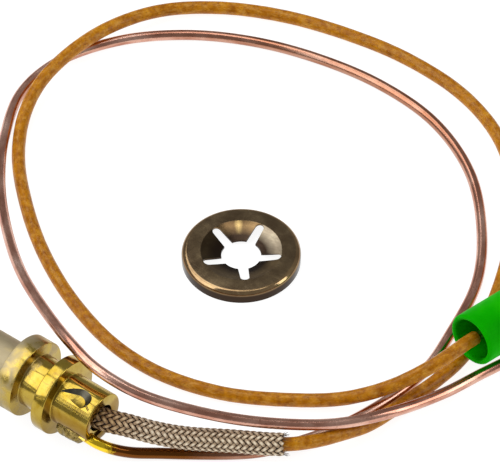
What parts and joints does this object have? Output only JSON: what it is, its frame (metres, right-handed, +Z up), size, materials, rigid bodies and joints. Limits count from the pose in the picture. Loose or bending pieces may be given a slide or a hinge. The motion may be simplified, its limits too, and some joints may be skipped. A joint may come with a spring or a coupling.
{
  "type": "thermocouple",
  "caption": "Flame-sensing thermocouple: flanged brass head with a hot probe, a braided insulated lead, a bare copper lead, and a push-on star washer.",
  "frame": {"origin": "on the head's axis, in the seat face of the front flange", "axes": "+X along the head's axis from the hot tip towards the leads, +Z up from the surface that the thermocouple lies on"},
  "size_m": [0.0971, 0.0826, 0.0105],
  "materials": {
    "brass": "turned and polished",
    "sheath": "drawn, heat-tinted at the tip",
    "weld": "oxidised weld",
    "element": "drawn wire",
    "ceramic": "unglazed",
    "glass_fibre": "woven glass fibre",
    "braze": "flowed braze",
    "tinned": "tinned crimp",
    "liner": "smooth",
    "braid": "herringbone glass-fibre braid",
    "varnish": "mottled glossy varnish",
    "copper": "drawn copper, lightly tarnished",
    "green_pvc": "soft and satin",
    "terminal": "stamped strip",
    "washer": "dark bronze passivation"
  },
  "bodies": {
    "thermocouple": {"probe_sheath": "sheath", "tip_weld_bead": "weld", "element_wire": "element", "tip_insulator": "ceramic", "barrel_insulator": "glass_fibre", "sheath_braze_ring": "braze", "head_body": "brass", "junction_ferrule": "tinned", "junction_liner": "liner", "rear_packing": "glass_fibre", "braided_sleeve": "braid", "insulated_lead": "varnish", "lead_core": "copper", "bare_copper_lead": "copper", "slot_braze": "braze", "lead_terminal": "terminal", "copper_terminal": "terminal"},
    "sleeve": {"green_sleeve": "green_pvc"},
    "washer": {"star_washer": "washer"}
  },
  "joints": [
    {"name": "sleeve_slide", "type": "slide", "parent": "thermocouple", "child": "sleeve", "axis": [-0.1955, -0.9776, 0.0782], "range_m": [0, 0.006]},
    {"name": "washer_lift", "type": "slide", "parent": "thermocouple", "child": "washer", "axis": [0, 0, 1], "range_m": [0, 0.03]}
  ]
}
